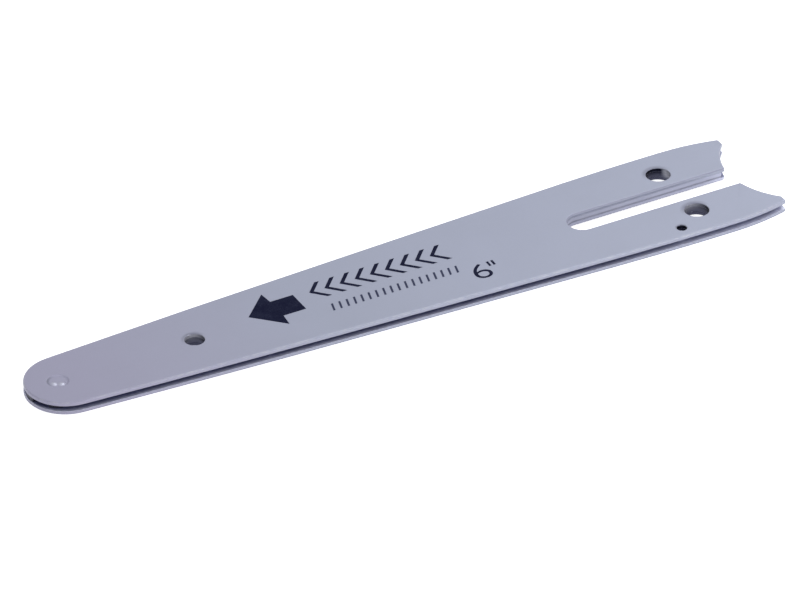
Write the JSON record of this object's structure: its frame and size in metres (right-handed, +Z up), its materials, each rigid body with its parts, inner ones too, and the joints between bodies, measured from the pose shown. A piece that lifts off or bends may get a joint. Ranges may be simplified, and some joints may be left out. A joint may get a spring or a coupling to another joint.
{
  "type": "chainsaw guide bar",
  "caption": "Laminated steel guide bar with a chain groove all round, a sprocket nose and a forked tail with an open stud slot.",
  "frame": {"origin": "under the middle of the bar's overall length, on its long axis, on the face it lies on", "axes": "+X along the bar towards the forked tail, +Y across the bar, +Z up through the thickness of the bar as it lies flat"},
  "size_m": [0.195, 0.0358, 0.0034],
  "materials": {
    "silver_paint": "satin silver-grey lacquer with a fine metallic grain",
    "core_steel": "dark, thinly coated steel inside the groove",
    "sprocket_steel": "dark hardened steel, ground",
    "bearing_steel": "ground bearing steel",
    "rivet_steel": "set rivet under the same satin lacquer"
  },
  "bodies": {
    "bar": {"upper_side_plate": "silver_paint", "core_plate": "core_steel", "lower_side_plate": "silver_paint", "nose_inner_race": "bearing_steel", "nose_rivet": "rivet_steel"},
    "sprocket": {"nose_sprocket": "sprocket_steel"},
    "roller_ring": {"nose_roller_01": "bearing_steel", "nose_roller_02": "bearing_steel", "nose_roller_03": "bearing_steel", "nose_roller_04": "bearing_steel", "nose_roller_05": "bearing_steel", "nose_roller_06": "bearing_steel", "nose_roller_07": "bearing_steel", "nose_roller_08": "bearing_steel", "nose_roller_09": "bearing_steel", "nose_roller_10": "bearing_steel", "nose_roller_11": "bearing_steel", "nose_roller_12": "bearing_steel", "nose_roller_13": "bearing_steel", "nose_roller_14": "bearing_steel", "nose_roller_15": "bearing_steel", "nose_roller_16": "bearing_steel"}
  },
  "joints": [
    {"name": "sprocket_spin", "type": "hinge", "parent": "bar", "child": "sprocket", "pos_m": [-0.0896, 0, 0.0017], "axis": [0, 0, 1], "continuous": true},
    {"name": "roller_ring_spin", "type": "hinge", "parent": "bar", "child": "roller_ring", "pos_m": [-0.0896, 0, 0.0017], "axis": [0, 0, 1], "continuous": true}
  ],
  "couplings": [
    {"joint": "roller_ring_spin", "follows": "sprocket_spin", "ratio": 0.5942}
  ]
}
